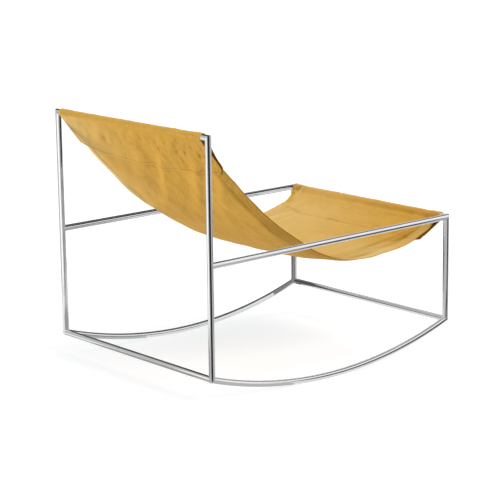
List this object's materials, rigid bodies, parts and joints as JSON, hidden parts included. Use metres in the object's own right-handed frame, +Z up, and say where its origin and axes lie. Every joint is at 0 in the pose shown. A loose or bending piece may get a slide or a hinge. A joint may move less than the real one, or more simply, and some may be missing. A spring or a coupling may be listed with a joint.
{
  "type": "rocking chair",
  "caption": "Low rocking lounge chair: a canvas sling seat hung in sleeves on two bars of a welded round-tube steel frame that stands on curved rockers.",
  "frame": {"origin": "on the floor, under the middle of the chair's box, with the chair standing still on its rockers", "axes": "+Z up, +Y the way the sitter faces, +X to the sitter's right"},
  "size_m": [0.7178, 0.9996, 0.7701],
  "materials": {
    "steel": "bright polished round tube, welds ground flush",
    "canvas": "ochre outdoor canvas, plain weave, matt",
    "tape": "woven touch fastener strip, ochre"
  },
  "bodies": {
    "root": {"rear_upright_left": "steel", "rear_upright_right": "steel", "front_upright_left": "steel", "front_upright_right": "steel", "side_rail_left": "steel", "side_rail_right": "steel", "rocker_left": "steel", "rocker_right": "steel", "rear_upper_bar": "steel", "rear_lower_bar": "steel", "front_upper_bar": "steel", "front_lower_bar": "steel", "canvas_sling": "canvas", "rear_loop_tape": "tape", "rear_hook_tape": "tape", "front_loop_tape": "tape", "front_hook_tape": "tape"}
  },
  "joints": []
}
